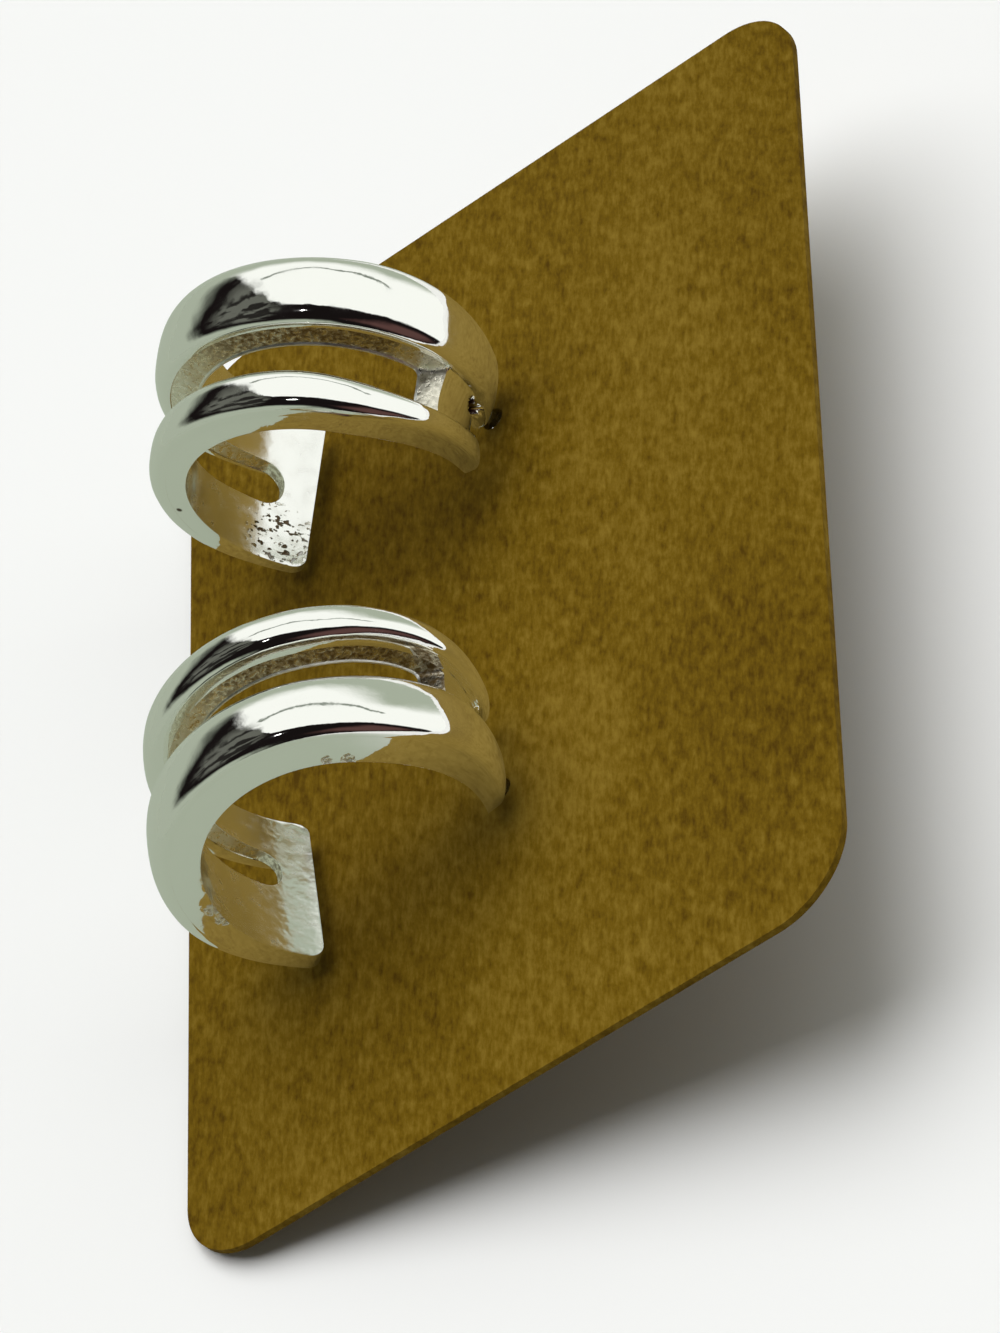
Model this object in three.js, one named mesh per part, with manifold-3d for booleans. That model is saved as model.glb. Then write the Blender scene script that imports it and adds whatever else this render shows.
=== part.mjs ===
// A pair of double-rail hoop earrings on their cardboard display card.
//
// Units are millimetres and +Z is up. Everything is first laid out on the card: the card's front is the
// plane z = 0, +X runs along its short side and +Y along its long side. The posts come out of the card's
// back, so the card cannot lie flat: it rests on its left edge and on the two post tips. The last lines
// tilt the whole assembly into that resting position and put the origin under the middle of its box.

import * as THREE from 'three';
import { mergeVertices } from 'three/addons/utils/BufferGeometryUtils.js';
import Module from 'manifold-3d';

const wasm = await Module();
wasm.setup();

// ---- card ----
const CARD_WIDTH = 55;
const CARD_LENGTH = 80;
const CARD_THICKNESS = 0.5;
const CARD_CORNER_RADIUS = 5.7;
const POST_HOLE_RADIUS = 0.85;

// ---- hoop: the bent band, seen along its axis, follows part of an ellipse ----
const INNER_LONG_RADIUS = 9.4;
const INNER_SHORT_RADIUS = 8.4;
const LONG_AXIS_ANGLE = -48; // degrees from +X
const CENTRE_BEHIND_POST_END = 8.6;
const CENTRE_ABOVE_POST_END = 5.6;
const POST_END_ANGLE = -35;
const BELOW_CUT = 12; // degrees that the bend runs on past its end, for the flat cut to trim
const FREE_END_ANGLE = 219.5;
const BAND_STATIONS = 40;

// ---- hoop: cross-section, a wide and a narrow domed rail side by side ----
const WIDE_RAIL_WIDTH = 5.5;
const NARROW_RAIL_WIDTH = 3.05; // the wider of the two; each earring gives its own below
const GROOVE_WIDTH = 3.9;
const BAND_WIDTH = WIDE_RAIL_WIDTH + GROOVE_WIDTH + NARROW_RAIL_WIDTH;
const GROOVE_DIP = 0.35;
const WIDE_FLANK_HEIGHT = 1.95;
const NARROW_FLANK_HEIGHT = 1.35;
const WIDE_RAIL_HEIGHT = 3.2;
const WIDE_DOME_FULLNESS = 2.5; // 2 is a half round, and more is flatter on top
const NARROW_DOME_FULLNESS = 3;

// ---- hoop: how the band thins and narrows towards its ends ----
const POST_END_THINNING = 0.5;
const FREE_END_THINNING = 0.56;
const THINNING_SPAN = 55; // degrees of the bend over which the thickness changes
const WIDE_SIDE_NARROWING = 0.76;
const NARROW_SIDE_NARROWING = 0.6;
const NARROWING_SPAN = 80;
const FREE_END_CORNER_RADIUS = 1;
const WIDE_RAIL_CUT = 0.4; // height of each rail's flat end above the hoop's origin, at the post end
const NARROW_RAIL_CUT = 1.35;
const NARROW_RAIL_END_ANGLE = -26;
const NOSE_LENGTH = 1.8; // each rail rounds down towards its post end over this length
const NOSE_SHRINK = 0.6;

// ---- slot between the rails ----
const SLOT_POST_END = { angle: 6.5, centre: -0.3, width: 4.3, cornerRadius: 0.5 };
const SLOT_FREE_END = { angle: 206, width: 3.3, cornerRadius: 1.5 };
const SLOT_EASING = 0.3; // share of the slot's length over which each end's width and centre fade out
const SLOT_STEPS = 26;

// ---- post and the nut that holds it behind the card ----
const POST_RADIUS = 0.45;
const POST_LENGTH = 8;
const POST_ROOT = 1.4; // height that the post runs up into the wide rail
const POST_OUT = -0.3; // from the hoop's origin, in the middle of the band's end
const POST_ALONG_BAND = 2.6; // from the groove's middle line to the middle of the wide rail
const NUT_GAP = 0.3;
const NUT_FLANGE_RADIUS = 2.5;
const NUT_FLANGE_THICKNESS = 0.8;
const NUT_BARREL_RADIUS = 1.5;
const NUT_LENGTH = 3.6;
const NUT_CARD_GAP = 0.55;

// ---- where each earring sits on the card; both lean and turn a little in their holes ----
// As cast the two differ: narrowRail is the rail's outer edge and its height, slot its middle and width
// half way round the bend, and slotDrift how far it strays towards the wide rail at the free end.
const EARRINGS = [
  {
    name: 'upper', wideSide: 1, narrowRail: { edge: -4.8, height: 2.6 },
    slot: { centre: 0.2, width: 3.3 }, slotDrift: 1,
    x: 0, y: 15.6, lift: 0.45, turn: -12.4, lean: 2.4, roll: 2.5,
  },
  {
    name: 'lower', wideSide: -1, narrowRail: { edge: -5, height: 2.85 },
    slot: { centre: 0.12, width: 3.76 }, slotDrift: 0,
    x: 0, y: -12.4, lift: 0.5, turn: 7.3, lean: -1, roll: 2,
  },
];

const radians = THREE.MathUtils.degToRad;
const smoothstep = THREE.MathUtils.smoothstep;
const lerp = THREE.MathUtils.lerp;

// ---- solids ----

function toManifold(geometry) {
  const bare = geometry.clone();
  bare.deleteAttribute('normal');
  bare.deleteAttribute('uv');
  const merged = mergeVertices(bare, 1e-5);
  return new wasm.Manifold(
    new wasm.Mesh({
      numProp: 3,
      vertProperties: new Float32Array(merged.attributes.position.array),
      triVerts: new Uint32Array(merged.index.array),
    }),
  );
}

function toGeometry(manifold) {
  const mesh = manifold.getMesh();
  const geometry = new THREE.BufferGeometry();
  geometry.setAttribute('position', new THREE.BufferAttribute(mesh.vertProperties, 3));
  geometry.setIndex(new THREE.BufferAttribute(mesh.triVerts, 1));
  geometry.computeVertexNormals();
  return geometry;
}

// Joins a row of equal-length point rings into one closed solid with a flat cap on each end.
function loft(rings, cap) {
  const count = rings[0].length;
  const positions = rings.flat().flatMap((point) => point.toArray());
  const faces = [];
  for (let ring = 0; ring + 1 < rings.length; ring += 1) {
    for (let i = 0; i < count; i += 1) {
      const a = ring * count + i;
      const b = ring * count + ((i + 1) % count);
      faces.push([a, b, a + count], [b, b + count, a + count]);
    }
  }
  const last = (rings.length - 1) * count;
  for (const [a, b, c] of cap) {
    faces.push([a, c, b], [last + a, last + b, last + c]);
  }
  const geometry = new THREE.BufferGeometry();
  geometry.setAttribute('position', new THREE.Float32BufferAttribute(positions, 3));
  geometry.setIndex(faces.flat());
  return geometry;
}

// A cylinder that stands along Z between two heights.
function rod(radius, bottom, top, segments = 24) {
  const geometry = new THREE.CylinderGeometry(radius, radius, top - bottom, segments);
  geometry.rotateX(Math.PI / 2);
  geometry.translate(0, 0, (top + bottom) / 2);
  return geometry;
}

// ---- hoop ----

// The band's inner face at an angle around the bend, and the direction that points straight out of it.
function bend(angle) {
  const tilt = radians(LONG_AXIS_ANGLE);
  const along = new THREE.Vector2(Math.cos(tilt), Math.sin(tilt));
  const across = new THREE.Vector2(-Math.sin(tilt), Math.cos(tilt));
  const turn = radians(angle) - tilt;
  const point = new THREE.Vector2(-CENTRE_BEHIND_POST_END, CENTRE_ABOVE_POST_END)
    .addScaledVector(along, INNER_LONG_RADIUS * Math.cos(turn))
    .addScaledVector(across, INNER_SHORT_RADIUS * Math.sin(turn));
  const outward = new THREE.Vector2()
    .addScaledVector(along, Math.cos(turn) / INNER_LONG_RADIUS)
    .addScaledVector(across, Math.sin(turn) / INNER_SHORT_RADIUS)
    .normalize();
  return { point, outward };
}

// Millimetres along the inner face for one degree of bend.
function millimetresPerDegree(angle) {
  return bend(angle - 0.5).point.distanceTo(bend(angle + 0.5).point);
}

// How much of its width and height a rail keeps where it rounds down to its end at the post.
function nose(angle, across) {
  const end = across > 0 ? POST_END_ANGLE : NARROW_RAIL_END_ANGLE;
  const fromEnd = Math.max(0, angle - end) * millimetresPerDegree(end);
  const inside = Math.max(0, 1 - fromEnd / NOSE_LENGTH);
  return lerp(NOSE_SHRINK, 1, Math.sqrt(1 - inside * inside));
}

function thinning(angle, across) {
  const fromPost = smoothstep(angle, POST_END_ANGLE, POST_END_ANGLE + THINNING_SPAN);
  const fromFree = 1 - smoothstep(angle, FREE_END_ANGLE - THINNING_SPAN, FREE_END_ANGLE);
  const taper = lerp(POST_END_THINNING, 1, fromPost) * lerp(FREE_END_THINNING, 1, fromFree);
  return taper * nose(angle, across);
}

function narrowing(angle, across) {
  const least = across > 0 ? WIDE_SIDE_NARROWING : NARROW_SIDE_NARROWING;
  const taper = lerp(least, 1, smoothstep(angle, POST_END_ANGLE, POST_END_ANGLE + NARROWING_SPAN));
  return taper * nose(angle, across);
}

// How far a rounded corner of this radius cuts in, at a distance back from the end.
function cornerCut(radius, distance) {
  const inside = Math.max(0, radius - distance);
  return radius - Math.sqrt(radius * radius - inside * inside);
}

// A point of the cross-section (across the band, above its inner face) carried to its place on the bend.
function onBend(angle, across, height) {
  const { point, outward } = bend(angle);
  return new THREE.Vector3(
    point.x + outward.x * height,
    across * narrowing(angle, across),
    point.y + outward.y * height,
  );
}

// A superellipse of points over one rail, from its narrow-side edge to its wide-side edge.
function dome(from, to, flank, height, fullness, steps) {
  const middle = (from + to) / 2;
  const half = (to - from) / 2;
  return Array.from({ length: steps + 1 }, (_, i) => {
    const turn = Math.PI * (i / steps - 0.5);
    const rise = (1 - Math.abs(Math.sin(turn)) ** fullness) ** (1 / fullness);
    return new THREE.Vector2(middle + half * Math.sin(turn), flank + (height - flank) * rise);
  });
}

// The whole band's cross-section, clockwise, with a shallow groove where the slot is not cut through.
function bandSection(narrowRail) {
  const grooveEdge = GROOVE_WIDTH / 2;
  const wideEdge = grooveEdge + WIDE_RAIL_WIDTH;
  return [
    new THREE.Vector2(wideEdge, 0),
    new THREE.Vector2(narrowRail.edge, 0),
    ...dome(narrowRail.edge, -grooveEdge, NARROW_FLANK_HEIGHT, narrowRail.height, NARROW_DOME_FULLNESS, 6),
    new THREE.Vector2(0, (NARROW_FLANK_HEIGHT + WIDE_FLANK_HEIGHT) / 2 - GROOVE_DIP),
    ...dome(grooveEdge, wideEdge, WIDE_FLANK_HEIGHT, WIDE_RAIL_HEIGHT, WIDE_DOME_FULLNESS, 8),
  ];
}

// Evenly spaced stations, with three more where the free end's corners are rounded.
function bandAngles() {
  const cornerSpan = FREE_END_CORNER_RADIUS / millimetresPerDegree(FREE_END_ANGLE);
  const start = POST_END_ANGLE - BELOW_CUT;
  const body = Array.from({ length: BAND_STATIONS }, (_, i) =>
    lerp(start, FREE_END_ANGLE - cornerSpan, i / (BAND_STATIONS - 1)),
  );
  return [...body, ...[0.6, 0.87, 1].map((part) => FREE_END_ANGLE - cornerSpan * (1 - part))];
}

function band(narrowRail) {
  const section = bandSection(narrowRail);
  const halfWidth = BAND_WIDTH / 2;
  const rings = bandAngles().map((angle) => {
    const fromEnd = (FREE_END_ANGLE - angle) * millimetresPerDegree(FREE_END_ANGLE);
    const trimmed = 1 - cornerCut(FREE_END_CORNER_RADIUS, fromEnd) / halfWidth;
    return section.map(({ x, y }) => onBend(angle, x * trimmed, y * thinning(angle, x)));
  });
  // The triangulation always runs anticlockwise, against the section.
  const cap = THREE.ShapeUtils.triangulateShape(section, []).map(([a, b, c]) => [a, c, b]);
  return loft(rings, cap);
}

// Where the slot runs: even steps between its two ends, each with a pair of rounded corners.
function slotStations(slot, drift) {
  const corners = ({ angle, centre, width, cornerRadius }, inward) => {
    const span = (inward * cornerRadius) / millimetresPerDegree(angle);
    return [0, 30, 60, 90].map((step) => ({
      angle: angle + span * (1 - Math.cos(radians(step))),
      centre,
      half: width / 2 - cornerRadius * (1 - Math.sin(radians(step))),
    }));
  };
  const first = corners(SLOT_POST_END, 1);
  const last = corners({ ...SLOT_FREE_END, centre: drift }, -1).reverse();
  const between = Array.from({ length: SLOT_STEPS - 1 }, (_, i) => {
    const part = (i + 1) / SLOT_STEPS;
    const near = part < 0.5 ? first.at(-1) : last[0];
    const open = smoothstep(Math.min(part, 1 - part), 0, SLOT_EASING);
    return {
      angle: lerp(first.at(-1).angle, last[0].angle, part),
      centre: lerp(near.centre, slot.centre, open),
      half: lerp(near.half, slot.width / 2, open),
    };
  });
  return [...first, ...between, ...last];
}

function slotCutter(slot, drift) {
  const low = -1;
  const high = WIDE_RAIL_HEIGHT + 1;
  const rings = slotStations(slot, drift).map(({ angle, centre, half }) => [
    onBend(angle, centre + half, low),
    onBend(angle, centre - half, low),
    onBend(angle, centre - half, high),
    onBend(angle, centre + half, high),
  ]);
  return loft(rings, [[0, 1, 2], [0, 2, 3]]);
}

// A block that removes what lies below a height, out to one side of the band.
function blockBelow(top, fromAcross, toAcross) {
  const depth = 12;
  const block = new THREE.BoxGeometry(2 * depth, toAcross - fromAcross, depth);
  block.translate(0, (fromAcross + toAcross) / 2, top - depth / 2);
  return block;
}

// The hoop with its post, wide rail on the +Y side and the post pointing down.
function hoop(narrowRail, slot, slotDrift) {
  const post = rod(POST_RADIUS, -POST_LENGTH, POST_ROOT);
  post.translate(POST_OUT, POST_ALONG_BAND, 0);
  const stepEdge = (GROOVE_WIDTH / 2) * WIDE_SIDE_NARROWING * NOSE_SHRINK;
  return toGeometry(
    toManifold(band(narrowRail))
      .subtract(toManifold(slotCutter(slot, slotDrift)))
      .subtract(toManifold(blockBelow(WIDE_RAIL_CUT, -BAND_WIDTH, BAND_WIDTH)))
      .subtract(toManifold(blockBelow(NARROW_RAIL_CUT, -BAND_WIDTH, stepEdge)))
      .add(toManifold(post)),
  );
}

// ---- nut: a flanged barrel with a clear bore, pushed up the post ----

function nut(top) {
  const bore = POST_RADIUS + NUT_GAP;
  const profile = [
    [bore, top],
    [bore, top - NUT_LENGTH],
    [NUT_BARREL_RADIUS, top - NUT_LENGTH],
    [NUT_BARREL_RADIUS, top - NUT_FLANGE_THICKNESS],
    [NUT_FLANGE_RADIUS, top - NUT_FLANGE_THICKNESS],
    [NUT_FLANGE_RADIUS, top],
    [bore, top],
  ].map(([radius, height]) => new THREE.Vector2(radius, height));
  const geometry = new THREE.LatheGeometry(profile, 24);
  geometry.rotateX(Math.PI / 2);
  geometry.translate(POST_OUT, POST_ALONG_BAND, 0);
  return geometry;
}

// ---- card ----

function roundedRectangle(width, length, radius) {
  const shape = new THREE.Shape();
  const x = width / 2 - radius;
  const y = length / 2 - radius;
  shape.absarc(x, y, radius, 0, Math.PI / 2, false);
  shape.absarc(-x, y, radius, Math.PI / 2, Math.PI, false);
  shape.absarc(-x, -y, radius, Math.PI, Math.PI * 1.5, false);
  shape.absarc(x, -y, radius, Math.PI * 1.5, Math.PI * 2, false);
  return shape;
}

function card(holes) {
  const shape = roundedRectangle(CARD_WIDTH, CARD_LENGTH, CARD_CORNER_RADIUS);
  for (const { x, y } of holes) {
    shape.holes.push(new THREE.Path().absarc(x, y, POST_HOLE_RADIUS, 0, Math.PI * 2, true));
  }
  const geometry = new THREE.ExtrudeGeometry(shape, {
    depth: CARD_THICKNESS,
    bevelEnabled: false,
    curveSegments: 10,
  });
  geometry.translate(0, 0, -CARD_THICKNESS);
  return geometry;
}

// ---- assembly ----

const silver = { color: 0xd9dcd8, roughness: 0.08, metalness: 1 };
const kraft = { color: 0x6e5528, roughness: 0.85, metalness: 0 };

function named(name, geometry, finish) {
  const mesh = new THREE.Mesh(geometry, new THREE.MeshStandardMaterial(finish));
  mesh.name = name;
  return mesh;
}

// The pair is mirrored: the lower earring is the upper one with its wide side turned to -Y.
function mirrored(geometry) {
  const copy = geometry.index ? geometry.clone() : mergeVertices(geometry);
  copy.scale(1, -1, 1);
  copy.setIndex(Array.from(copy.index.array).reverse());
  copy.computeVertexNormals();
  return copy;
}

const onCard = new THREE.Group();
const holes = [];
const tips = [];

for (const earringSizes of EARRINGS) {
  const { name, wideSide, narrowRail, slot, slotDrift, x, y, lift, turn, lean, roll } = earringSizes;
  const handed = (geometry) => (wideSide < 0 ? mirrored(geometry) : geometry);
  const earring = new THREE.Group();
  earring.position.set(x, y, lift);
  earring.rotation.set(radians(lean), radians(roll), radians(turn), 'ZXY');
  const nutTop = -lift - CARD_THICKNESS - NUT_CARD_GAP;
  earring.add(named(`hoop_${name}`, handed(hoop(narrowRail, slot, slotDrift)), silver));
  earring.add(named(`ear_nut_${name}`, handed(nut(nutTop)), silver));
  earring.updateMatrixWorld();
  onCard.add(earring);

  const onPost = (height) =>
    earring.localToWorld(new THREE.Vector3(POST_OUT, wideSide * POST_ALONG_BAND, height));
  holes.push(onPost(-lift - CARD_THICKNESS / 2));
  tips.push(onPost(-POST_LENGTH));
}

onCard.add(named('card', card(holes), kraft));

// The card tilts about its left edge until the lower post tip touches the surface as well.
const restAngles = tips.map((tip) =>
  Math.atan2(-CARD_THICKNESS - tip.z, tip.x + CARD_WIDTH / 2),
);
const resting = new THREE.Group();
resting.rotation.y = -Math.max(...restAngles);
resting.add(onCard);

const group = new THREE.Group();
group.add(resting);
group.updateMatrixWorld(true);
const box = new THREE.Box3().setFromObject(group, true);
const middle = box.getCenter(new THREE.Vector3());
group.position.set(-middle.x, -middle.y, -box.min.z);

export default group;
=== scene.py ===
"""A pair of double-rail silver hoop earrings, posted through a small brown card.

Lengths in the named sizes are millimetres. The card's own frame has its origin in the middle of the card's
front, +X along the short side, +Y along the long side and +Z out of the front; ON_CARD carries it into the
row frame, where the card leans on its left edge and the two post tips.
"""

import math

import bmesh
import bpy
from mathutils import Matrix, Vector, noise

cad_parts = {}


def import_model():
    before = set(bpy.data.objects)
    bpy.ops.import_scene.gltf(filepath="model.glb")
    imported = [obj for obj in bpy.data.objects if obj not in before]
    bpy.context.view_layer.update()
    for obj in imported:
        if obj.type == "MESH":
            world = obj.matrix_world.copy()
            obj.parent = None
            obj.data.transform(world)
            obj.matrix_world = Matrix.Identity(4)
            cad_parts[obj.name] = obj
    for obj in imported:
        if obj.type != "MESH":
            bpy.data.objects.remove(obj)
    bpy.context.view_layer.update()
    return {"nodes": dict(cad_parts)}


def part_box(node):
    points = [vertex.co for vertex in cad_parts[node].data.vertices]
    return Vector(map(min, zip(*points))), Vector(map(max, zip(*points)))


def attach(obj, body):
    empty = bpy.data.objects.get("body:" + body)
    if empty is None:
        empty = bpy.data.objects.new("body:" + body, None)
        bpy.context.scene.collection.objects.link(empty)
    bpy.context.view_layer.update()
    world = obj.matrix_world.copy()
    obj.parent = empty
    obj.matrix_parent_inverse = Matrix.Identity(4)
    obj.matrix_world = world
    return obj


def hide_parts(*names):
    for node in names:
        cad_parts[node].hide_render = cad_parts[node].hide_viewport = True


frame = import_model()

MM = 0.001

# ---- sizes shared with the solids ----
CARD_WIDTH = 55
CARD_THICKNESS = 0.5

INNER_LONG_RADIUS = 9.4
INNER_SHORT_RADIUS = 8.4
LONG_AXIS_ANGLE = -48
CENTRE_BEHIND_POST_END = 8.6
CENTRE_ABOVE_POST_END = 5.6
POST_END_ANGLE = -35
FREE_END_ANGLE = 219.5

WIDE_RAIL_WIDTH = 5.5
# The wider of the two narrow rails; each earring gives its own edge below.
NARROW_RAIL_WIDTH = 3.05
GROOVE_WIDTH = 3.9
GROOVE_DIP = 0.35
WIDE_FLANK_HEIGHT = 1.95
NARROW_FLANK_HEIGHT = 1.35
WIDE_RAIL_HEIGHT = 3.2
WIDE_DOME_FULLNESS = 2.5
NARROW_DOME_FULLNESS = 3
BAND_WIDTH = WIDE_RAIL_WIDTH + GROOVE_WIDTH + NARROW_RAIL_WIDTH

POST_END_THINNING = 0.5
FREE_END_THINNING = 0.56
THINNING_SPAN = 55
WIDE_SIDE_NARROWING = 0.76
NARROW_SIDE_NARROWING = 0.6
NARROWING_SPAN = 80
FREE_END_CORNER_RADIUS = 1
WIDE_RAIL_CUT = 0.4
NARROW_RAIL_CUT = 1.35
NOSE_LENGTH = 1.8
NOSE_SHRINK = 0.6

SLOT_POST_END = {"angle": 6.5, "centre": -0.3, "width": 4.3, "corner": 0.5}
SLOT_FREE_END = {"angle": 206, "width": 3.3, "corner": 1.5}
SLOT_EASING = 0.3

POST_RADIUS = 0.45
POST_LENGTH = 8
POST_ROOT = 1.4
POST_OUT = -0.3
POST_ALONG_BAND = 2.6
NUT_GAP = 0.3
NUT_FLANGE_RADIUS = 2.5
NUT_FLANGE_THICKNESS = 0.8
NUT_BARREL_RADIUS = 1.5
NUT_LENGTH = 3.6
NUT_CARD_GAP = 0.55

EARRINGS = [
    {
        "name": "upper", "wide_side": 1, "narrow_edge": -4.8, "narrow_height": 2.6,
        "slot_centre": 0.2, "slot_width": 3.3, "slot_drift": 1,
        "at": (0, 15.6, 0.45), "turn": -12.4, "lean": 2.4, "roll": 2.5,
    },
    {
        "name": "lower", "wide_side": -1, "narrow_edge": -5, "narrow_height": 2.85,
        "slot_centre": 0.12, "slot_width": 3.76, "slot_drift": 0,
        "at": (0, -12.4, 0.5), "turn": 7.3, "lean": -1, "roll": 2,
    },
]

# ---- the camera, about the card's own frame ----
CAMERA_DISTANCE = 560.4
CAMERA_AZIMUTH = 35.0
CAMERA_ELEVATION = 33.6
CAMERA_ROLL = -53.3
CAMERA_AIM = (-1.2, -2.3, -1.7)
CAMERA_LENS = 231.7


def smoothstep(value, low, high):
    part = min(1, max(0, (value - low) / (high - low)))
    return part * part * (3 - 2 * part)


def lerp(start, end, part):
    return start + (end - start) * part


def card_frame():
    """The card's own frame in the row frame, in millimetres, from the box that the leaning card fills."""
    low, high = (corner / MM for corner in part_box("card"))
    size = high - low
    sine = size.z * CARD_WIDTH - size.x * CARD_THICKNESS
    cosine = size.x * CARD_WIDTH - size.z * CARD_THICKNESS
    lean = Matrix.Rotation(-math.atan2(sine, cosine), 4, "Y")
    return Matrix.Translation((low + high) / 2) @ lean @ Matrix.Translation((0, 0, CARD_THICKNESS / 2))


ON_CARD = card_frame()


def place(earring):
    """An earring's own frame: the band's post end is at its origin, and the wide rail lies towards +Y."""
    turn = Matrix.Rotation(math.radians(earring["turn"]), 4, "Z")
    lean = Matrix.Rotation(math.radians(earring["lean"]), 4, "X")
    roll = Matrix.Rotation(math.radians(earring["roll"]), 4, "Y")
    mirror = Matrix.Diagonal((1, earring["wide_side"], 1, 1))
    return ON_CARD @ Matrix.Translation(earring["at"]) @ turn @ lean @ roll @ mirror


# ---- mesh helpers ----

# Vertices this close together, in millimetres, are one.
SAME_PLACE = 0.0001
# The card's own mesh comes from the solid, and its corners are joined up to this distance.
SAME_CARD_CORNER = 0.001


def finish_piece(name, bm, to_row, materials, replaced=None, smooth_degrees=40):
    """Turns a mesh in millimetres into a piece of the object, in place in the row frame."""
    bmesh.ops.remove_doubles(bm, verts=bm.verts, dist=SAME_PLACE)
    bmesh.ops.dissolve_degenerate(bm, dist=SAME_PLACE, edges=bm.edges)
    bmesh.ops.transform(bm, matrix=Matrix.Scale(MM, 4) @ to_row, verts=bm.verts)
    bmesh.ops.recalc_face_normals(bm, faces=bm.faces)
    mesh = bpy.data.meshes.new(name)
    bm.to_mesh(mesh)
    bm.free()
    for material in materials:
        mesh.materials.append(material)
    mesh.shade_smooth()
    mesh.set_sharp_from_angle(angle=math.radians(smooth_degrees))
    piece = bpy.data.objects.new(name, mesh)
    bpy.context.scene.collection.objects.link(piece)
    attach(piece, "root")
    if replaced:
        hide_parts(replaced)
    return piece


def turned(bm, profile, centre, steps=40):
    """Spins a profile of (radius, height) points about an upright axis, as a further part of the mesh."""
    corners = [bm.verts.new((centre[0] + radius, centre[1], height)) for radius, height in profile]
    edges = [bm.edges.new(pair) for pair in zip(corners, corners[1:])]
    bmesh.ops.spin(
        bm, geom=corners + edges, cent=(*centre, 0), axis=(0, 0, 1),
        angle=math.tau, steps=steps, use_merge=True,
    )


# ---- the hoop's band ----

RIM_BEVEL = 0.1
SHARP_RIM_DEGREES = 50
MEAN_RADIUS = 12
HAND_FINISH = 0.025
HAND_FINISH_WAVES_PER_MM = 0.3
HOOPS_APART_IN_NOISE = 40
CLEFT = {"angle": -14, "across": 1.15, "radius": 0.7, "depth": 1.1}
NOTCH_TOP = 2.3
NOTCH_NARROW_SIDE = (-5.5, 0.6)
NOTCH_WIDE_SIDE = (0.9, 2.1)
TONGUE_DROP = 0.35


def bend(angle):
    """The band's inner face at an angle round the bend, and the way straight out of it, both as (x, z)."""
    tilt = math.radians(LONG_AXIS_ANGLE)
    along = Vector((math.cos(tilt), math.sin(tilt)))
    across = Vector((-math.sin(tilt), math.cos(tilt)))
    turn = math.radians(angle) - tilt
    point = Vector((-CENTRE_BEHIND_POST_END, CENTRE_ABOVE_POST_END))
    point += along * INNER_LONG_RADIUS * math.cos(turn) + across * INNER_SHORT_RADIUS * math.sin(turn)
    outward = along * math.cos(turn) / INNER_LONG_RADIUS + across * math.sin(turn) / INNER_SHORT_RADIUS
    return point, outward.normalized()


def mm_per_degree(angle):
    return (bend(angle - 0.5)[0] - bend(angle + 0.5)[0]).length


def thinning(angle):
    from_post = smoothstep(angle, POST_END_ANGLE, POST_END_ANGLE + THINNING_SPAN)
    from_free = 1 - smoothstep(angle, FREE_END_ANGLE - THINNING_SPAN, FREE_END_ANGLE)
    return lerp(POST_END_THINNING, 1, from_post) * lerp(FREE_END_THINNING, 1, from_free)


def narrowing(angle, across):
    least = WIDE_SIDE_NARROWING if across > 0 else NARROW_SIDE_NARROWING
    return lerp(least, 1, smoothstep(angle, POST_END_ANGLE, POST_END_ANGLE + NARROWING_SPAN))


def nose(from_end):
    inside = max(0, 1 - from_end / NOSE_LENGTH)
    return lerp(NOSE_SHRINK, 1, math.sqrt(1 - inside * inside))


def corner_cut(radius, distance):
    inside = max(0, radius - distance)
    return radius - math.sqrt(radius * radius - inside * inside)


# The order of the hoop's materials.
OUTER_SKIN, SLOT_WALL, INNER_FACE, SLOT_INNER_LIP, INNER_ARRIS = range(5)

NARROW_COLUMNS = 16
GAP_COLUMNS = 14
WIDE_COLUMNS = 28
POST_ROWS = 36
FREE_ROWS = 14
# Levels up a side wall, as (share of its height, share of the lip's setback).
WALL_PROFILE = [(0, 0), (0.06, 0), (0.1, 1), (0.4, 1), (0.7, 1), (1, 1)]
WALL_LEVELS = len(WALL_PROFILE) - 1
# The lowest levels of the slot's wall are its filed lip.
LIP_LEVELS = 2
SLOT_LIP = 0.13
SLOT_LEDGE = 0.07
WIDE_FLANK_DRAFT = 0.09
NARROW_FLANK_DRAFT = 0.08
FLANK_FOOT = 0.1
# The slot's end wall at the post slopes: this many degrees of the bend from its top edge to its foot.
END_WALL_SLOPE = 7


def rail_share(step, steps):
    """Shares of a dome's width, closer together towards its two edges."""
    return (1 - math.cos(math.pi * step / steps)) / 2


def groove_height(across):
    share = min(1, max(0, across / GROOVE_WIDTH + 0.5))
    return lerp(NARROW_FLANK_HEIGHT, WIDE_FLANK_HEIGHT, share) - GROOVE_DIP * (1 - (2 * share - 1) ** 2)


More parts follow.
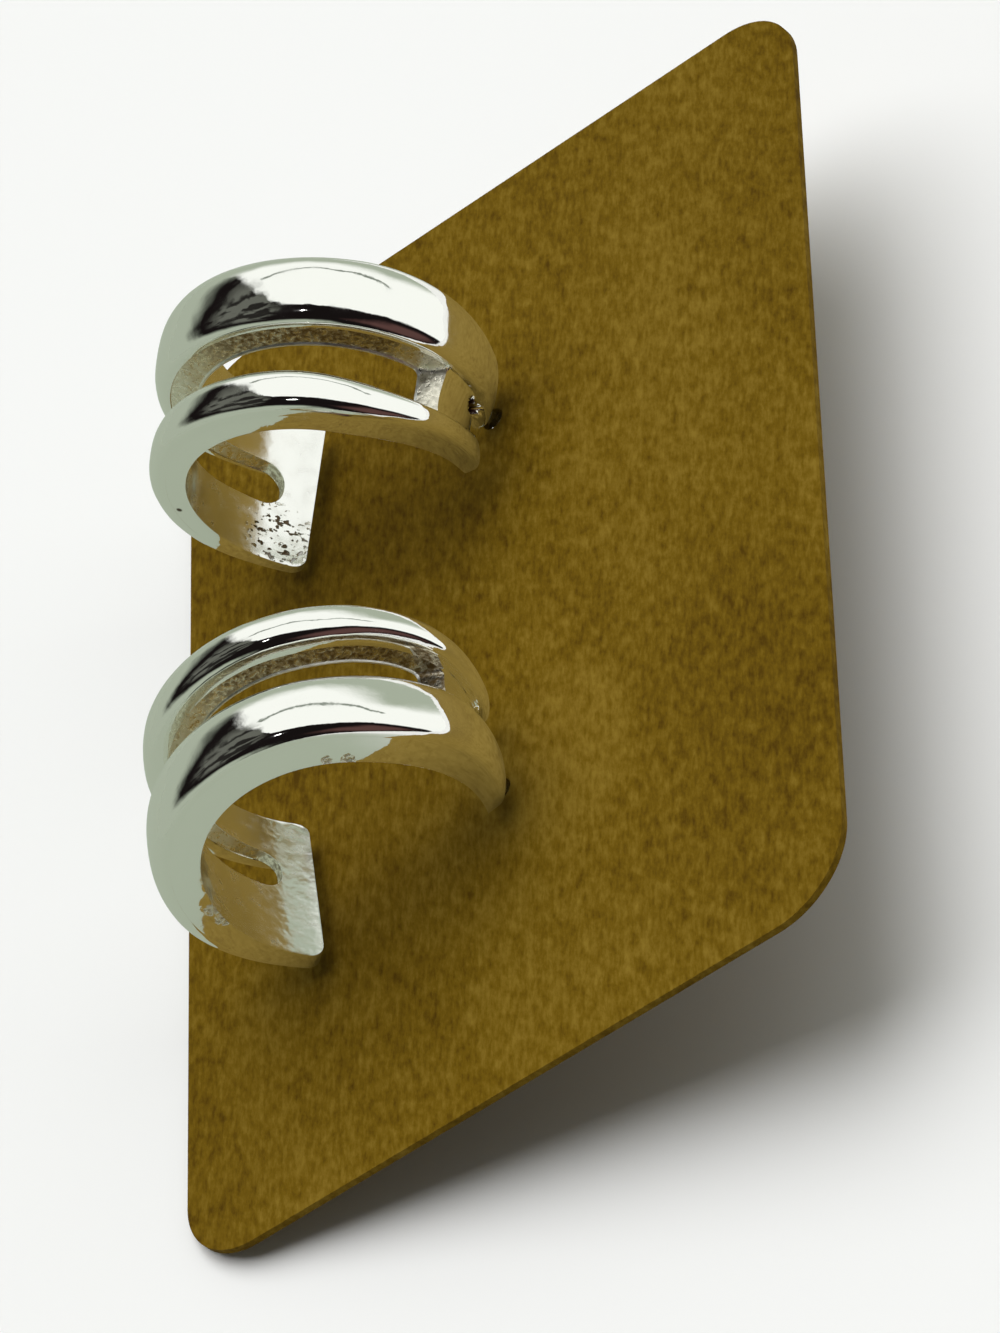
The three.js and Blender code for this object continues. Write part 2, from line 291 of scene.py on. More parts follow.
def section_point(column, slot, groove, earring):
    """One column of the section: how far across on the outer skin, on the inner face, and how high."""
    if NARROW_COLUMNS < column < NARROW_COLUMNS + GAP_COLUMNS:
        across = lerp(*slot, (column - NARROW_COLUMNS) / GAP_COLUMNS)
        return across, across, groove_height(across)
    if column <= NARROW_COLUMNS:
        flank, crest, draft = NARROW_FLANK_HEIGHT, earring["narrow_height"], NARROW_FLANK_DRAFT
        outer, slot_edge, dome_edge = earring["narrow_edge"] - FLANK_FOOT, slot[0], groove[0]
        step, steps, fullness = column, NARROW_COLUMNS, NARROW_DOME_FULLNESS
    else:
        flank, crest, draft = WIDE_FLANK_HEIGHT, WIDE_RAIL_HEIGHT, -WIDE_FLANK_DRAFT
        outer, slot_edge, dome_edge = GROOVE_WIDTH / 2 + WIDE_RAIL_WIDTH + FLANK_FOOT, slot[1], groove[1]
        step, steps, fullness = band_columns() - column, WIDE_COLUMNS, WIDE_DOME_FULLNESS
    if step == steps:
        return slot_edge, slot_edge, groove_height(slot_edge)
    share = rail_share(step, steps - 1)
    dome = max(0, 1 - abs(2 * share - 1) ** fullness) ** (1 / fullness)
    inner_across = lerp(outer, slot_edge, step / steps)
    return lerp(outer + draft * flank, dome_edge, share), inner_across, flank + (crest - flank) * dome


def slot_corner_rows(end, inward, centre, steps=7):
    """Where the slot's side starts at one of its ends: a quarter round from the end wall into the side."""
    rows = []
    span = inward * end["corner"] / mm_per_degree(end["angle"])
    for step in range(steps):
        turn = math.pi / 2 * step / (steps - 1)
        half = end["width"] / 2 - end["corner"] * (1 - math.sin(turn))
        rows.append((end["angle"] + span * (1 - math.cos(turn)), centre, half, end["width"] / 2))
    return rows


def slot_rows(earring, steps=84):
    """(angle, centre, half width, half width without corners) along the slot, from its post end."""
    first = slot_corner_rows(SLOT_POST_END, 1, SLOT_POST_END["centre"])
    last = slot_corner_rows(SLOT_FREE_END, -1, earring["slot_drift"])[::-1]
    between = []
    for step in range(1, steps):
        part = step / steps
        near = first[-1] if part < 0.5 else last[0]
        open_share = smoothstep(min(part, 1 - part), 0, SLOT_EASING)
        angle = lerp(first[-1][0], last[0][0], part)
        half = lerp(near[2], earring["slot_width"] / 2, open_share)
        between.append((angle, lerp(near[1], earring["slot_centre"], open_share), half, half))
    return first + between + last


def cut_level(across):
    """How high above the post's foot the band ends: a notch runs up between the two rails."""
    tongue = lerp(NARROW_RAIL_CUT - TONGUE_DROP, NOTCH_TOP, smoothstep(across, *NOTCH_NARROW_SIDE))
    return lerp(tongue, WIDE_RAIL_CUT, smoothstep(across, *NOTCH_WIDE_SIDE))


def cut_angle(across, height):
    """The angle at which a line at this height along the band meets its cut end at the post."""
    level = cut_level(across)
    low, high = POST_END_ANGLE - 20, 10
    for _ in range(24):
        middle = (low + high) / 2
        point, outward = bend(middle)
        if point.y + outward.y * height < level:
            low = middle
        else:
            high = middle
    return high


def band_columns():
    return NARROW_COLUMNS + GAP_COLUMNS + WIDE_COLUMNS


def nearest_slot_row(row, rows):
    """The slot's own row at a row of the band, or its first or last one beyond its ends."""
    return rows[min(max(row - POST_ROWS, 0), len(rows) - 1)]


def slot_and_groove(row, rows):
    """The slot's edges at a row and the rails' edges beside it; both ease into the groove past its ends."""
    edge = GROOVE_WIDTH / 2
    last = POST_ROWS + len(rows) - 1
    _, centre, half, full = nearest_slot_row(row, rows)
    whole = 0
    if row < POST_ROWS:
        whole = 1 - smoothstep(row / POST_ROWS, 0.3, 1)
    elif row > last:
        whole = smoothstep((row - last) / FREE_ROWS, 0, 1)
    slot = lerp(centre - half, -edge, whole), lerp(centre + half, edge, whole)
    groove = lerp(centre - full, -edge, whole) - SLOT_LEDGE, lerp(centre + full, edge, whole) + SLOT_LEDGE
    return slot, groove


def band_point(row, column, level, rows, earring):
    """A point of the flat band carried to its place round the bend; the last level is the outer skin."""
    last = POST_ROWS + len(rows) - 1
    outer_across, inner_across, skin = section_point(column, *slot_and_groove(row, rows), earring)
    level, setback = WALL_PROFILE[level]
    if column in (0, band_columns()):
        across = lerp(inner_across, outer_across, level * level)
    elif column in (NARROW_COLUMNS, NARROW_COLUMNS + GAP_COLUMNS):
        across = outer_across + math.copysign(SLOT_LIP * setback, column - NARROW_COLUMNS - 1)
    else:
        across = lerp(inner_across, outer_across, level)
    height = skin * level
    angle = nearest_slot_row(row, rows)[0]
    rounding = 1
    trim = 1
    if row < POST_ROWS:
        end = cut_angle(across, height * POST_END_THINNING * NOSE_SHRINK)
        angle = lerp(end, angle, (row / POST_ROWS) ** 1.4)
        rounding = nose((angle - end) * mm_per_degree(end))
        trim = lerp(1, rounding, 0.3)
        angle += END_WALL_SLOPE * (1 - level) * (row / POST_ROWS) ** 2
    elif row <= last:
        start = SLOT_POST_END["angle"]
        angle += END_WALL_SLOPE * (1 - level) * (1 - smoothstep(angle, start, start + 30))
    else:
        angle = lerp(angle, FREE_END_ANGLE, 1 - (1 - (row - last) / FREE_ROWS) ** 1.6)
        from_end = (FREE_END_ANGLE - angle) * mm_per_degree(FREE_END_ANGLE)
        trim = 1 - corner_cut(FREE_END_CORNER_RADIUS, from_end) / (BAND_WIDTH / 2)
    point, outward = bend(angle)
    side = across * narrowing(angle, across) * trim
    height *= thinning(angle) * rounding
    along = math.radians(angle) * MEAN_RADIUS
    place_in_band = Vector((along, side, 3 * height + HOOPS_APART_IN_NOISE * earring["wide_side"]))
    height += level * HAND_FINISH * noise.noise(place_in_band * HAND_FINISH_WAVES_PER_MM)
    from_cleft = Vector(((angle - CLEFT["angle"]) * mm_per_degree(angle), side - CLEFT["across"]))
    share = from_cleft.length / CLEFT["radius"]
    height -= level * CLEFT["depth"] * max(0, 1 - share * share)
    return Vector((point.x + outward.x * height, side, point.y + outward.y * height))


def band_mesh(earring):
    """A flat grid has the slot's faces taken out, gets its thickness, and is then bent."""
    rows = slot_rows(earring)
    row_count = POST_ROWS + len(rows) - 1 + FREE_ROWS
    columns = band_columns()
    bm = bmesh.new()
    bmesh.ops.create_grid(bm, x_segments=row_count, y_segments=columns, size=0.5)
    low = Vector((min(v.co.x for v in bm.verts), min(v.co.y for v in bm.verts)))
    span = -2 * low
    for vert in bm.verts:
        vert.co.x = round((vert.co.x - low.x) / span.x * row_count)
        vert.co.y = round((vert.co.y - low.y) / span.y * columns)

    def over_slot(face):
        middle = face.calc_center_median()
        return (
            POST_ROWS - 0.1 < middle.x < POST_ROWS + len(rows) - 0.9
            and NARROW_COLUMNS - 0.1 < middle.y < NARROW_COLUMNS + GAP_COLUMNS + 0.1
        )

    bmesh.ops.delete(bm, geom=[face for face in bm.faces if over_slot(face)], context="FACES")
    bmesh.ops.solidify(bm, geom=bm.faces[:], thickness=1)
    lowest = min(v.co.z for v in bm.verts)
    for vert in bm.verts:
        vert.co.z = round(vert.co.z - lowest)
    for face in bm.faces:
        heights = [vert.co.z for vert in face.verts]
        if max(heights) == 0:
            face.material_index = INNER_FACE
        elif min(heights) == 0 and over_slot(face):
            face.material_index = SLOT_WALL
    uprights = [edge for edge in bm.edges if abs(edge.verts[0].co.z - edge.verts[1].co.z) > 0.5]
    bmesh.ops.subdivide_edges(bm, edges=uprights, cuts=WALL_LEVELS - 1, use_grid_fill=True)
    for face in bm.faces:
        in_lip = max(vert.co.z for vert in face.verts) < (LIP_LEVELS + 0.5) / WALL_LEVELS
        if face.material_index == SLOT_WALL and in_lip:
            face.material_index = SLOT_INNER_LIP
    for vert in bm.verts:
        level = round(vert.co.z * WALL_LEVELS)
        vert.co = band_point(round(vert.co.x), round(vert.co.y), level, rows, earring)
    return bm


def post_profile():
    """A rounded tip, the waist that a nut grips, and the fillet of solder under the band."""
    tip = -POST_LENGTH
    solder = WIDE_RAIL_CUT
    waist = POST_RADIUS * 0.78
    return [
        (0, tip),
        (POST_RADIUS * 0.55, tip),
        (POST_RADIUS * 0.9, tip + 0.16),
        (POST_RADIUS, tip + 0.4),
        (POST_RADIUS, tip + 1.1),
        (waist, tip + 1.25),
        (waist, tip + 1.55),
        (POST_RADIUS, tip + 1.7),
        (POST_RADIUS, solder - 0.35),
        (POST_RADIUS * 1.25, solder - 0.1),
        (POST_RADIUS * 1.6, solder + 0.1),
        (POST_RADIUS, POST_ROOT),
        (0, POST_ROOT),
    ]


def hoop(earring, materials):
    bm = band_mesh(earring)
    sharp = math.radians(SHARP_RIM_DEGREES)
    rims = [edge for edge in bm.edges if len(edge.link_faces) == 2 and edge.calc_face_angle() > sharp]
    bevelled = bmesh.ops.bevel(
        bm, geom=rims, offset=RIM_BEVEL, segments=3, profile=0.5,
        affect="EDGES", clamp_overlap=True, material=-1,
    )
    for face in bevelled["faces"]:
        beside = {other.material_index for edge in face.edges for other in edge.link_faces}
        if beside == {OUTER_SKIN, INNER_FACE}:
            face.material_index = INNER_ARRIS
    turned(bm, post_profile(), (POST_OUT, POST_ALONG_BAND))
    name = "hoop_" + earring["name"]
    return finish_piece("silver_" + name, bm, place(earring), materials, name)


# ---- materials ----

def new_material(name, metallic, roughness, colour):
    material = bpy.data.materials.new(name)
    material.use_nodes = True
    shader = material.node_tree.nodes["Principled BSDF"]
    shader.inputs["Metallic"].default_value = metallic
    shader.inputs["Roughness"].default_value = roughness
    shader.inputs["Base Color"].default_value = (*colour, 1)
    return material, material.node_tree, shader


def noise_of_size(tree, size, detail=2.0, roughness=0.5, stretch=(1, 1, 1), turn=0.0):
    """Noise on the object's own coordinates, with lumps of about a size in millimetres."""
    place_on_piece = tree.nodes.new("ShaderNodeTexCoord")
    mapping = tree.nodes.new("ShaderNodeMapping")
    mapping.vector_type = "TEXTURE"
    mapping.inputs["Scale"].default_value = [size * MM * part for part in stretch]
    mapping.inputs["Rotation"].default_value = (0, 0, math.radians(turn))
    lumps = tree.nodes.new("ShaderNodeTexNoise")
    lumps.inputs["Scale"].default_value = 1
    lumps.inputs["Detail"].default_value = detail
    lumps.inputs["Roughness"].default_value = roughness
    tree.links.new(place_on_piece.outputs["Object"], mapping.inputs["Vector"])
    tree.links.new(mapping.outputs["Vector"], lumps.inputs["Vector"])
    return lumps.outputs["Fac"]


def near_spot(tree, spot, radius):
    """1 at a spot of the object, given in the row frame in millimetres, and 0 beyond the radius."""
    place_on_piece = tree.nodes.new("ShaderNodeTexCoord")
    reach = tree.nodes.new("ShaderNodeVectorMath")
    reach.operation = "DISTANCE"
    reach.inputs[1].default_value = spot * MM
    tree.links.new(place_on_piece.outputs["Object"], reach.inputs[0])
    return ramp(tree, reach.outputs["Value"], radius * MM * 0.5, radius * MM, 1, 0)


def feed(tree, socket, value):
    """Gives a socket another node's output, or else a plain number or a colour."""
    if isinstance(value, bpy.types.NodeSocket):
        tree.links.new(value, socket)
    elif isinstance(value, tuple):
        socket.default_value = (*value, 1)
    else:
        socket.default_value = value


def mixed(tree, share, plain, other):
    """A colour that goes from one tone to another with a share."""
    mix = tree.nodes.new("ShaderNodeMix")
    mix.data_type = "RGBA"
    feed(tree, mix.inputs["A"], plain)
    feed(tree, mix.inputs["B"], other)
    feed(tree, mix.inputs["Factor"], share)
    return mix.outputs["Result"]


def ramp(tree, value, from_low, from_high, to_low, to_high):
    remap = tree.nodes.new("ShaderNodeMapRange")
    remap.interpolation_type = "SMOOTHSTEP"
    for socket, number in zip(remap.inputs[1:5], (from_low, from_high, to_low, to_high)):
        socket.default_value = number
    tree.links.new(value, remap.inputs[0])
    return remap.outputs[0]


def math_node(tree, operation, *values):
    node = tree.nodes.new("ShaderNodeMath")
    node.operation = operation
    for socket, value in zip(node.inputs, values):
        feed(tree, socket, value)
    return node.outputs[0]


def window(tree, angle, low, high, soft):
    """1 where an angle in radians is between two bounds in degrees, with a soft fade to 0 at each."""
    rise = ramp(tree, angle, math.radians(low - soft), math.radians(low + soft), 0, 1)
    fall = ramp(tree, angle, math.radians(high - soft), math.radians(high + soft), 1, 0)
    return math_node(tree, "MULTIPLY", rise, fall)


def bumped(tree, shader, *layers):
    """Stacks bump layers, each a (height, depth in millimetres) pair, under the shader."""
    below = None
    for height, depth in layers:
        bump = tree.nodes.new("ShaderNodeBump")
        bump.inputs["Strength"].default_value = 1
        bump.inputs["Distance"].default_value = depth * MM
        tree.links.new(height, bump.inputs["Height"])
        if below:
            tree.links.new(below, bump.inputs["Normal"])
        below = bump.outputs["Normal"]
    tree.links.new(below, shader.inputs["Normal"])


SILVER = (0.93, 0.93, 0.895)
# Dark brown for real tarnish in nicks and chips, and also for painted shade in the post end's cleft.
TARNISH_AND_PAINTED_SHADE = (0.09, 0.06, 0.035)


def on_hoop(name, angle, across, height):
    """A place on a hoop, from degrees round the bend and millimetres across and above the inner face."""
    earring = next(earring for earring in EARRINGS if earring["name"] == name)
    point, outward = bend(angle)
    return place(earring) @ Vector((point.x + outward.x * height, across, point.y + outward.y * height))


# Spots on the hoops: (hoop, degrees round the bend, across, height above the inner face, radius).
MISSED_BY_THE_BUFF = [
    ("lower", 164, 7.5, 0.3, 0.8),
    ("lower", 171, 7.5, 0.1, 0.9),
    ("lower", 56, 7.5, 0.3, 0.6),
    ("lower", 48, 7.5, 0.2, 0.75),
]
# The first spot is a small dark pit; the last two lie in the cleft at the post end and paint shade into its
# deep hollow.
PITS_AND_CLEFT_SHADE = [
    ("upper", 156.5, -4.8, 1, 0.26),
    ("upper", -14.5, 1.2, 0.6, 0.75),
    ("upper", -10.5, 1.1, 0.6, 0.65),
]
CLEANED_IN_THE_SLOT = [
    ("upper", 9, 0.2, 1, 4.5),
    ("upper", 150, 0, 1, 11),
    ("lower", 150, 0, 1, 11),
]


def near_any_spot(tree, spots):
    """1 at each spot of a table, and 0 away from them all."""
    most = None
    for *spot, radius in spots:
        share = near_spot(tree, on_hoop(*spot), radius)
        most = math_node(tree, "MAXIMUM", most, share) if most else share
    return most


def polished_silver():
    """Buffed by hand: bright and slowly waved, with cast skin left in a few hollows that the buff missed, and
    painted shade darkening the cleft at the post end.
    """
    material, tree, shader = new_material("polished_silver", 1, 0.06, SILVER)
    haze = ramp(tree, noise_of_size(tree, 2.2, 4, 0.6), 0.45, 0.75, 0.035, 0.14)
    tree.links.new(haze, shader.inputs["Roughness"])
    missed = near_any_spot(tree, MISSED_BY_THE_BUFF)
    speckled = math_node(tree, "MULTIPLY", missed, noise_of_size(tree, 0.3, 4, 0.7))
    chipped = ramp(tree, speckled, 0.4, 0.62, 0, 1)
    # Painted shade: the cleft at the post end, and one small pit, are darkened towards the tarnish colour.
    pit_and_cleft_shade = near_any_spot(tree, PITS_AND_CLEFT_SHADE)
    brown = ramp(tree, chipped, 0.2, 1, 0, 0.5)
    dark = math_node(tree, "MAXIMUM", brown, pit_and_cleft_shade)
    tree.links.new(mixed(tree, dark, SILVER, TARNISH_AND_PAINTED_SHADE), shader.inputs["Base Color"])
    bumped(
        tree, shader,
        (noise_of_size(tree, 1.8, 1), 0.03),
        (noise_of_size(tree, 0.6, 2), 0.005),
        (chipped, -0.03),
    )
    return material


def cast_silver():
    """As it left the mould: grainy, pitted, and brown in the hollows."""
    material, tree, shader = new_material("cast_silver", 1, 0.3, (0.86, 0.85, 0.8))
    grain = noise_of_size(tree, 0.35, 3, 0.6)
    lumps = noise_of_size(tree, 1.3, 2)
    clean = near_any_spot(tree, CLEANED_IN_THE_SLOT)
    dirt = ramp(tree, grain, 0.36, 0.64, 0.35, 1)
    cleaner = math_node(tree, "SUBTRACT", dirt, clean)
    tree.links.new(mixed(tree, cleaner, (0.86, 0.82, 0.7), (0.2, 0.135, 0.06)), shader.inputs["Base Color"])
    tree.links.new(ramp(tree, grain, 0.35, 0.7, 0.22, 0.45), shader.inputs["Roughness"])
    bumped(tree, shader, (lumps, 0.1), (grain, 0.05))
    return material


def filed_silver():
    """The slot's inner lip: filed bright but never buffed, so it shines softly from any side."""
    material, tree, shader = new_material("filed_silver", 1, 0.4, SILVER)
    tree.links.new(ramp(tree, noise_of_size(tree, 0.5, 2), 0.3, 0.7, 0.3, 0.5), shader.inputs["Roughness"])
    bumped(tree, shader, (noise_of_size(tree, 0.4, 2), 0.03))
    return material


def rim_silver():
    """The arris round the inside of the band, coloured as a thin dark reddish line: a painted reflection of
    the shaded card beside it.
    """
    material, tree, shader = new_material("rim_silver", 1, 0.35, TARNISH_AND_PAINTED_SHADE)
    # Painted reflection: the arris is dark reddish-brown, as the shaded card would show in it.
    tone = ramp(tree, noise_of_size(tree, 1.4, 2), 0.4, 0.6, 0, 1)
    tree.links.new(mixed(tree, tone, (0.1, 0.045, 0.03), (0.26, 0.17, 0.1)), shader.inputs["Base Color"])
    return material


def inner_silver(name, peel, marked=None):
    """The inside of a band: filed but not buffed, with an orange peel skin and nicks round one spot."""
    material, tree, shader = new_material(name, 1, 0.16, SILVER)
    tree.links.new(ramp(tree, noise_of_size(tree, 1.1, 3), 0.4, 0.7, 0.14, 0.28), shader.inputs["Roughness"])
    layers = [(noise_of_size(tree, 0.7, 1), peel), (noise_of_size(tree, 0.18, 2), 0.002)]
    if marked:
        nicks = ramp(tree, noise_of_size(tree, 0.42, 2, stretch=(1.6, 0.8, 1)), 0.57, 0.64, 0, 1)
        nicked = math_node(tree, "MULTIPLY", nicks, near_spot(tree, *marked))
        tree.links.new(mixed(tree, nicked, SILVER, TARNISH_AND_PAINTED_SHADE), shader.inputs["Base Color"])
        layers.append((nicked, -0.12))
    bumped(tree, shader, *layers)
    return material


KRAFT_DARK = (0.068, 0.035, 0.001)
KRAFT_MID = (0.13, 0.075, 0.003)
KRAFT_LIGHT = (0.2, 0.126, 0.014)
KRAFT_IN_METAL = (0.28, 0.2, 0.055)


def kraft():
    """Unbleached card stock, mottled and faintly clouded, with a painted pool of light round one spot; its
    reflection in the silver is painted paler than it shows straight on.
    """
    material, tree, shader = new_material("kraft_card", 0, 0.85, KRAFT_MID)
    shader.inputs["Specular IOR Level"].default_value = 0.08
    clouds = noise_of_size(tree, 14, 2, stretch=(1.8, 1, 1), turn=-55)
    mottle = noise_of_size(tree, 0.9, 3, 0.6, stretch=(1.8, 1, 1), turn=-55)
    fibres = noise_of_size(tree, 0.4, 3, 0.6, stretch=(1, 3, 1))
    tones = tree.nodes.new("ShaderNodeValToRGB")
    tones.color_ramp.elements[0].position = 0.36
    tones.color_ramp.elements[0].color = (*KRAFT_DARK, 1)
    tones.color_ramp.elements[1].position = 0.66
    tones.color_ramp.elements[1].color = (*KRAFT_LIGHT, 1)
    middle = tones.color_ramp.elements.new(0.5)
    middle.color = (*KRAFT_MID, 1)
    total = 0
    for layer, share in ((clouds, 0.25), (mottle, 0.35), (fibres, 0.4)):
        total = math_node(tree, "MULTIPLY_ADD", layer, share, total)
    # Painted light: a faint pool of light makes the card paler round one spot near the lower hoop.
    painted_light_pool = ramp(tree, near_spot(tree, ON_CARD @ Vector((5, -15, 0)), 9), 0, 1, 0, 0.06)
    lighter = math_node(tree, "ADD", total, painted_light_pool)
    tree.links.new(lighter, tones.inputs["Fac"])
    # Painted reflection: seen in the silver, the card is painted paler than straight on.
    rays = tree.nodes.new("ShaderNodeLightPath")
    in_metal = math_node(tree, "MULTIPLY", rays.outputs["Is Glossy Ray"], total)
    shown = mixed(tree, in_metal, tones.outputs["Color"], KRAFT_IN_METAL)
    tree.links.new(shown, shader.inputs["Base Color"])
    bumped(tree, shader, (mottle, 0.02), (fibres, 0.02))
    return material


# ---- the card ----

def card(material):
    bm = bmesh.new()
    bm.from_mesh(frame["nodes"]["card"].data)
    bmesh.ops.remove_doubles(bm, verts=bm.verts, dist=SAME_CARD_CORNER * MM)
    bmesh.ops.transform(bm, matrix=Matrix.Scale(1 / MM, 4), verts=bm.verts)
    bmesh.ops.dissolve_limit(bm, angle_limit=math.radians(1), verts=bm.verts, edges=bm.edges)
    in_place = Matrix.Identity(4)
    return finish_piece("kraft_card", bm, in_place, [material], "card", smooth_degrees=30)


# ---- the nuts behind the card ----

def nut(earring, polished):
    top = -earring["at"][2] - CARD_THICKNESS - NUT_CARD_GAP
    bore = POST_RADIUS + NUT_GAP
    under = top - NUT_FLANGE_THICKNESS
    bottom = top - NUT_LENGTH
    bm = bmesh.new()
    turned(bm, [
        (bore, top - 0.1),
        (bore, bottom + 0.1),
        (bore + 0.1, bottom),
        (NUT_BARREL_RADIUS - 0.2, bottom),
        (NUT_BARREL_RADIUS, bottom + 0.2),
        (NUT_BARREL_RADIUS, under - 0.15),
        (NUT_BARREL_RADIUS + 0.15, under),
        (NUT_FLANGE_RADIUS - 0.2, under),
        (NUT_FLANGE_RADIUS, under + 0.2),
        (NUT_FLANGE_RADIUS, top - 0.2),
        (NUT_FLANGE_RADIUS - 0.2, top),
        (bore + 0.1, top),
        (bore, top - 0.1),
    ], (POST_OUT, POST_ALONG_BAND))
    name = "ear_nut_" + earring["name"]
    in_place = place(earring)
    return finish_piece("silver_" + name, bm, in_place, [polished], name, smooth_degrees=30)


# ---- stage, light and camera ----

SUN_STRENGTH = 2.65
SUN_SPREAD_DEGREES = 70
SUN_FROM = (-0.25, 0.35, 1)
FLOOR_TONE = (0.8, 0.8, 0.8)
FLOOR_IN_METAL = (0.333, 0.375, 0.3)


def area_light(name, size, power, position, target):
    data = bpy.data.lights.new(name, "AREA")
    data.shape = "RECTANGLE"
    data.size, data.size_y = size
    data.energy = power
    light = bpy.data.objects.new(name, data)
    light.location = position
    light.rotation_euler = (Vector(target) - Vector(position)).to_track_quat("-Z", "Y").to_euler()
    bpy.context.scene.collection.objects.link(light)


def sun_light():
    """One broad soft light from high at the back left, so wide that its shadows have no edge."""
    data = bpy.data.lights.new("soft_light", "SUN")
    data.energy = SUN_STRENGTH
    data.angle = math.radians(SUN_SPREAD_DEGREES)
    light = bpy.data.objects.new("soft_light", data)
    light.rotation_euler = Vector(SUN_FROM).to_track_quat("Z", "Y").to_euler()
    light.visible_glossy = False
    bpy.context.scene.collection.objects.link(light)


def stage():
    """A pale floor; seen in the metal, its left side is painted greyer than it is to the eye."""
    bm = bmesh.new()
    bmesh.ops.create_grid(bm, x_segments=1, y_segments=1, size=1.5)
    mesh = bpy.data.meshes.new("floor")
    bm.to_mesh(mesh)
    bm.free()
    floor = bpy.data.objects.new("floor", mesh)
    material, tree, shader = new_material("pale_floor", 0, 0.7, FLOOR_TONE)
    rays = tree.nodes.new("ShaderNodeLightPath")
    place_on_floor = tree.nodes.new("ShaderNodeTexCoord")
    axes = tree.nodes.new("ShaderNodeSeparateXYZ")
    tree.links.new(place_on_floor.outputs["Object"], axes.inputs["Vector"])
    # Painted reflection: the floor's left side shows greyer in the metal than to the eye.
    left_side = ramp(tree, axes.outputs["X"], -10 * MM, 30 * MM, 1, 0)
    in_metal = math_node(tree, "MULTIPLY", left_side, rays.outputs["Is Glossy Ray"])
    tree.links.new(mixed(tree, in_metal, FLOOR_TONE, FLOOR_IN_METAL), shader.inputs["Base Color"])
    mesh.materials.append(material)
    bpy.context.scene.collection.objects.link(floor)


# What stands round the table, as (name, compass degrees, degrees above the horizon, softness, slope, colour).
# Compass degrees run anticlockwise from +X, and a slope tips a patch about the compass's 100 degree mark.
SURROUNDINGS = [
    ("white ceiling light", (-17, 116), (-6, 90), 3, 0, (1.0, 1.02, 0.98)),
    ("grey-green wall", (46, 262), (-90, 24), 8, 0, (0.4, 0.45, 0.36)),
    ("upper wall", (116, 235), (44, 80), 10, 0, (0.13, 0.135, 0.115)),
    ("seam in the light", (30, 108), (46, 48.5), 1, 0.2, (0.2, 0.23, 0.19)),
    ("rosy lampshade", (-72, -34), (4, 34), 8, 0, (0.1, 0.05, 0.045)),
]
BLOTCHED_PATCH = "upper wall"
# No patch crosses -80 degrees, so the compass is turned to have its two ends meet there.
COMPASS_TURN = 180 + 80
SKY_WANDER = 0.16
UNLIT = (0.008, 0.006, 0.006)
BACKDROP = (1, 1, 1)


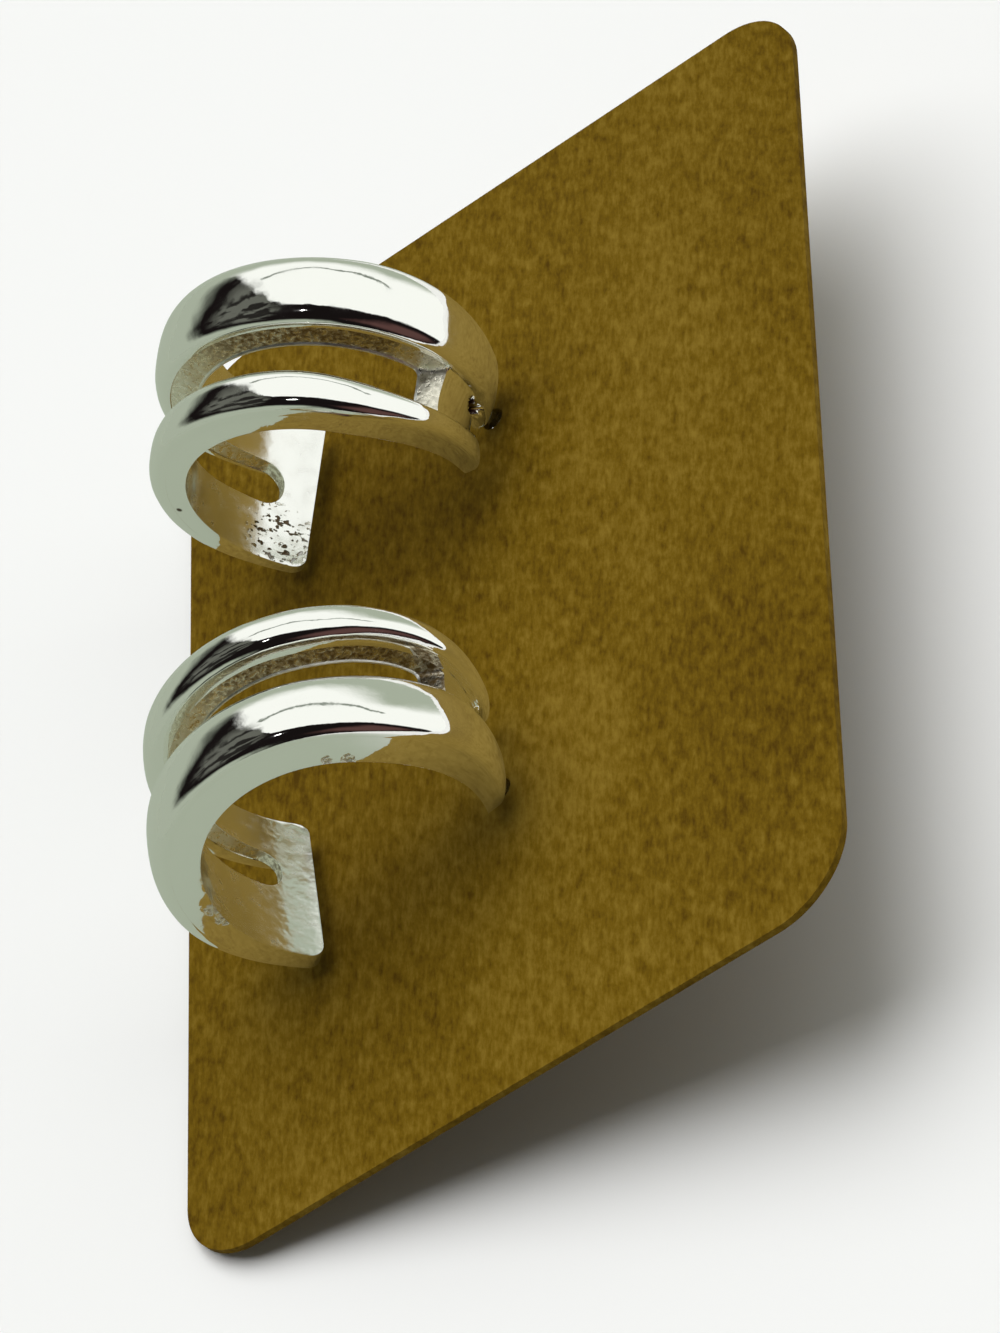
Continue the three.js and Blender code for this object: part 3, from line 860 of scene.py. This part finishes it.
def world():
    """A plain studio: a white light over the card's right, a grey-green wall at its left, dark in front."""
    shade = bpy.data.worlds.new("studio")
    bpy.context.scene.world = shade
    shade.use_nodes = True
    tree = shade.node_tree
    sky = tree.nodes.new("ShaderNodeTexCoord")
    axes = tree.nodes.new("ShaderNodeSeparateXYZ")
    turn = tree.nodes.new("ShaderNodeVectorRotate")
    turn.rotation_type = "Z_AXIS"
    turn.inputs["Angle"].default_value = math.radians(COMPASS_TURN)
    uneven = tree.nodes.new("ShaderNodeTexNoise")
    uneven.inputs["Scale"].default_value = 3.5
    uneven.inputs["Detail"].default_value = 3
    nudge = tree.nodes.new("ShaderNodeVectorMath")
    nudge.operation = "MULTIPLY_ADD"
    nudge.inputs[1].default_value = (SKY_WANDER, SKY_WANDER, SKY_WANDER)
    tree.links.new(sky.outputs["Generated"], uneven.inputs["Vector"])
    tree.links.new(uneven.outputs["Color"], nudge.inputs[0])
    tree.links.new(sky.outputs["Generated"], nudge.inputs[2])
    centred = tree.nodes.new("ShaderNodeVectorMath")
    centred.operation = "SUBTRACT"
    centred.inputs[1].default_value = (SKY_WANDER / 2, SKY_WANDER / 2, SKY_WANDER / 2)
    tree.links.new(nudge.outputs["Vector"], centred.inputs[0])
    tree.links.new(centred.outputs["Vector"], turn.inputs["Vector"])
    tree.links.new(turn.outputs["Vector"], axes.inputs["Vector"])
    compass = math_node(tree, "ARCTAN2", axes.outputs["Y"], axes.outputs["X"])
    level_part = tree.nodes.new("ShaderNodeVectorMath")
    level_part.operation = "LENGTH"
    flat = tree.nodes.new("ShaderNodeCombineXYZ")
    tree.links.new(axes.outputs["X"], flat.inputs["X"])
    tree.links.new(axes.outputs["Y"], flat.inputs["Y"])
    tree.links.new(flat.outputs["Vector"], level_part.inputs[0])
    height = math_node(tree, "ARCTAN2", axes.outputs["Z"], level_part.outputs["Value"])
    blotches = tree.nodes.new("ShaderNodeTexNoise")
    blotches.inputs["Scale"].default_value = 5
    tree.links.new(sky.outputs["Generated"], blotches.inputs["Vector"])
    colour = UNLIT
    for name, across, up, soft, slope, tone in SURROUNDINGS:
        low, high = ((angle + COMPASS_TURN + 180) % 360 - 180 for angle in across)
        tipped = math_node(tree, "MULTIPLY_ADD", compass, -slope, height)
        level = window(tree, tipped, *up, soft)
        inside = math_node(tree, "MULTIPLY", window(tree, compass, low, high, soft), level)
        if name == BLOTCHED_PATCH:
            stain = ramp(tree, blotches.outputs["Fac"], 0.42, 0.56, 0.1, 1.3)
            inside = math_node(tree, "MULTIPLY", inside, stain)
        colour = mixed(tree, inside, colour, tone)
    rays = tree.nodes.new("ShaderNodeLightPath")
    seen = mixed(tree, rays.outputs["Is Camera Ray"], colour, BACKDROP)
    tree.links.new(seen, tree.nodes["Background"].inputs["Color"])


def camera():
    data = bpy.data.cameras.new("camera")
    data.lens = CAMERA_LENS
    data.clip_start = 0.01
    data.clip_end = 10
    eye = bpy.data.objects.new("camera", data)
    orbit = Matrix.Rotation(math.radians(CAMERA_AZIMUTH), 4, "Z")
    raise_up = Matrix.Rotation(math.radians(90 - CAMERA_ELEVATION), 4, "X")
    roll = Matrix.Rotation(math.radians(CAMERA_ROLL), 4, "Z")
    back = Matrix.Translation((0, 0, CAMERA_DISTANCE))
    pose = ON_CARD @ Matrix.Translation(CAMERA_AIM) @ orbit @ raise_up @ roll @ back
    pose.translation *= MM
    eye.matrix_world = pose
    bpy.context.scene.collection.objects.link(eye)
    bpy.context.scene.camera = eye


# ---- the scene ----

polished = polished_silver()
cast = cast_silver()
filed = filed_silver()
rim = rim_silver()
insides = {
    "upper": inner_silver("inner_silver_upper", 0.006, (on_hoop("upper", 206, -2.8, 0), 2.8)),
    "lower": inner_silver("inner_silver_lower", 0.03),
}
for earring in EARRINGS:
    hoop(earring, [polished, cast, insides[earring["name"]], filed, rim])
    nut(earring, polished)
card(kraft())
stage()
world()
camera()
bpy.context.scene.view_settings.view_transform = "Standard"
sun_light()
# A small lamp for the sharpest glints.
area_light("spark", size=(0.03, 0.02), power=0.03, position=(0.03, -0.17, 0.55), target=(0, 0, 0.02))
